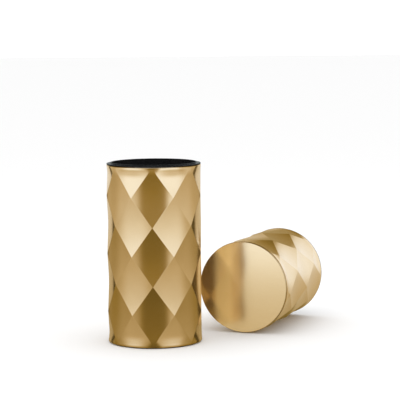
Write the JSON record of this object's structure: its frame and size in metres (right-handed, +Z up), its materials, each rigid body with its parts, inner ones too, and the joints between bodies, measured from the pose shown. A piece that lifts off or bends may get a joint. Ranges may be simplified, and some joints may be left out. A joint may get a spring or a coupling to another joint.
{
  "type": "insulated champagne bottle cooler with lid",
  "caption": "Tall round bottle cooler of faceted champagne-gold metal with a black inner liner, and its faceted lid lying on its side beside it.",
  "frame": {"origin": "centre of the underside of the base's foot pad, on the base's axis", "axes": "+Z up along the base's axis, -Y towards the front; the lid lies at +X and +Y"},
  "size_m": [0.2424, 0.2301, 0.192],
  "materials": {
    "champagne_metal": "satin champagne-gold anodised",
    "brushed_end": "straight-brushed champagne-gold anodised",
    "gloss_black": "gloss",
    "rubber": "matt",
    "foam": "closed-cell foam",
    "steel": "satin",
    "felt": "pressed felt"
  },
  "bodies": {
    "base": {"base_shell": "champagne_metal", "base_liner": "gloss_black", "base_liner_seal": "rubber", "base_insulation_sleeve": "foam", "base_insulation_disc": "foam", "base_end_plate": "steel", "foot_pad": "rubber", "bottle_rest_pad": "felt", "base_screw_1": "steel", "base_screw_2": "steel", "base_screw_3": "steel"},
    "lid": {"lid_shell": "champagne_metal", "lid_top_disc": "brushed_end", "lid_liner": "gloss_black", "lid_insulation_sleeve": "foam", "lid_insulation_disc": "foam", "lid_collar": "rubber", "lid_collar_seal": "rubber", "lid_screw_1": "steel", "lid_screw_2": "steel", "lid_screw_3": "steel"}
  },
  "joints": [
    {"name": "lid_lift", "type": "slide", "parent": "base", "child": "lid", "axis": [0, 0, 1], "range_m": [0, 0.21]}
  ]
}
